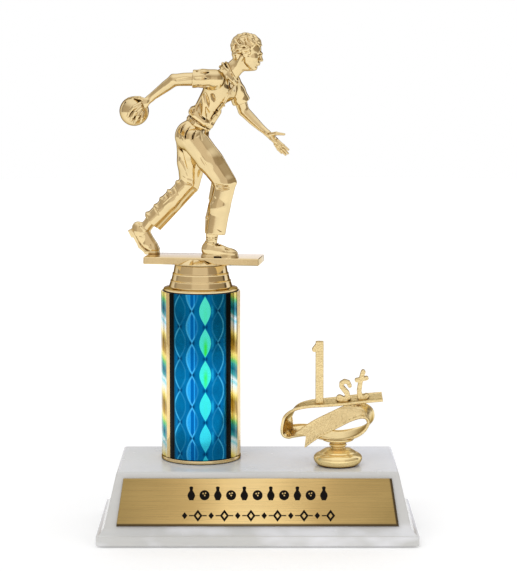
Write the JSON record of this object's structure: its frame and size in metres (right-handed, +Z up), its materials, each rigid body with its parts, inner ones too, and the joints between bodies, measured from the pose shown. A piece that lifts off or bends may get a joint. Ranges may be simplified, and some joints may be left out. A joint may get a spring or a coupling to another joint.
{
  "type": "bowling trophy",
  "caption": "Column trophy: weighted base with a name plate, foil-covered round column, gold bowler figure on top and a gold ribbon trim with an ordinal beside it.",
  "frame": {"origin": "middle of the base's footprint, on the plane the rubber feet rest on", "axes": "+Z up along the column, +X from the column towards the trim, +Y away from the name plate"},
  "size_m": [0.1776, 0.0934, 0.2778],
  "materials": {
    "pearl_plastic": "glossy white pearl",
    "cast_weight": "rough cast cement",
    "foot_rubber": "matte",
    "adhesive": "double-sided film",
    "plate_gold": "brushed, gold anodised, black engraving",
    "inner_plastic": "extruded",
    "gold_moulding": "vacuum-metallised pale gold, mirror bright",
    "strip_gold": "fluted, metallised, with rainbow sheen",
    "blue_foil": "holographic foil with a leaf lattice",
    "zinc_steel": "zinc plated"
  },
  "bodies": {
    "base": {"base_shell": "pearl_plastic", "base_weight": "cast_weight", "foot_front_left": "foot_rubber", "foot_front_right": "foot_rubber", "foot_back_left": "foot_rubber", "foot_back_right": "foot_rubber", "nameplate": "plate_gold", "nameplate_adhesive": "adhesive", "threaded_rod": "zinc_steel", "rod_washer": "zinc_steel", "rod_spring_washer": "zinc_steel", "trim_washer": "zinc_steel"},
    "column": {"column_tube": "inner_plastic", "column_bottom_cup": "gold_moulding", "column_top_cup": "inner_plastic", "column_front_film": "blue_foil", "column_back_film": "blue_foil", "column_left_strip": "strip_gold", "column_right_strip": "strip_gold", "riser": "gold_moulding"},
    "figure": {"bowler_figure": "gold_moulding", "figure_insert_nut": "zinc_steel"},
    "rod_nut_body": {"rod_nut": "zinc_steel"},
    "trim": {"trim_figure": "gold_moulding", "trim_foot": "gold_moulding", "trim_screw": "zinc_steel"},
    "trim_nut_body": {"trim_nut": "zinc_steel"}
  },
  "joints": [
    {"name": "column_turn", "type": "hinge", "parent": "base", "child": "column", "pos_m": [-0.032, 0.004, 0.0404], "axis": [0, 0, 1], "range_deg": [-180, 180]},
    {"name": "figure_turn", "type": "hinge", "parent": "base", "child": "figure", "pos_m": [-0.032, 0.004, 0.151], "axis": [0, 0, 1], "range_deg": [-180, 180]},
    {"name": "rod_nut_turn", "type": "hinge", "parent": "base", "child": "rod_nut_body", "pos_m": [-0.032, 0.004, 0.0166], "axis": [0, 0, 1], "range_deg": [-180, 180]},
    {"name": "trim_turn", "type": "hinge", "parent": "base", "child": "trim", "pos_m": [0.0448, -0.016, 0.0404], "axis": [0, 0, 1], "range_deg": [-180, 180]},
    {"name": "trim_nut_turn", "type": "hinge", "parent": "base", "child": "trim_nut_body", "pos_m": [0.0448, -0.016, 0.0202], "axis": [0, 0, 1], "range_deg": [-180, 180]}
  ]
}
